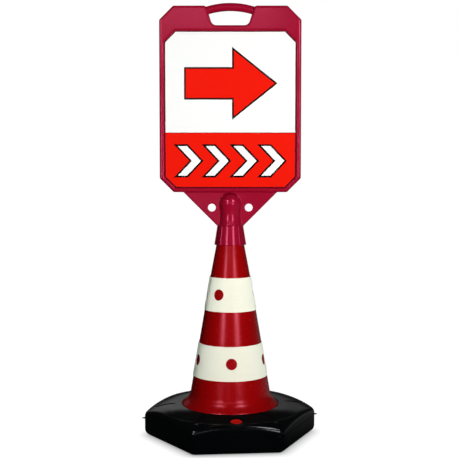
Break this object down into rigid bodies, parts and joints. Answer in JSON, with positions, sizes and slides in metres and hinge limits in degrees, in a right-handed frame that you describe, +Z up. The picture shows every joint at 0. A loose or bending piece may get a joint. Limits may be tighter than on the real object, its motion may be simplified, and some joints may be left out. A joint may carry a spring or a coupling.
{
  "type": "plastic sign bollard",
  "caption": "Free-standing sign bollard: a weighted hexagonal base carries a red cone with pale bands and a two-sided sign with a carry handle that swivels on the cone's ball tip.",
  "frame": {"origin": "on the ground under the cone's axis, the middle of the base's footprint", "axes": "+Z up along the cone, +X along the width of the sign, the sign's front faces -Y"},
  "size_m": [0.4106, 0.3736, 1],
  "materials": {
    "black_plastic": "blow-moulded black polyethylene, semi-gloss",
    "sand": "dry sand, hidden in the tank",
    "red_plastic": "moulded red polyethylene, semi-gloss",
    "seal_rubber": "black rubber",
    "ivory_plastic": "pale reflective sleeve, matte",
    "zinc_steel": "zinc-plated steel",
    "crimson_plastic": "moulded crimson polypropylene, semi-gloss",
    "poster_film": null
  },
  "bodies": {
    "stand": {"base_tank": "black_plastic", "sand_fill": "sand", "cone": "red_plastic", "lower_band": "ivory_plastic", "upper_band": "ivory_plastic", "cone_screws": "zinc_steel", "cone_washers": "zinc_steel"},
    "sign_head": {"sign_front_shell": "crimson_plastic", "sign_rear_shell": "crimson_plastic", "shell_screws": "zinc_steel", "front_poster": "poster_film", "rear_poster": "poster_film"},
    "plug": {"fill_plug": "red_plastic", "plug_seal": "seal_rubber"}
  },
  "joints": [
    {"name": "sign_swivel", "type": "hinge", "parent": "stand", "child": "sign_head", "pos_m": [0, 0, 0.54], "axis": [0, 0, 1], "continuous": true},
    {"name": "plug_pull", "type": "slide", "parent": "stand", "child": "plug", "axis": [0.0144, -0.1644, 0.9863], "range_m": [0, 0.04]}
  ]
}
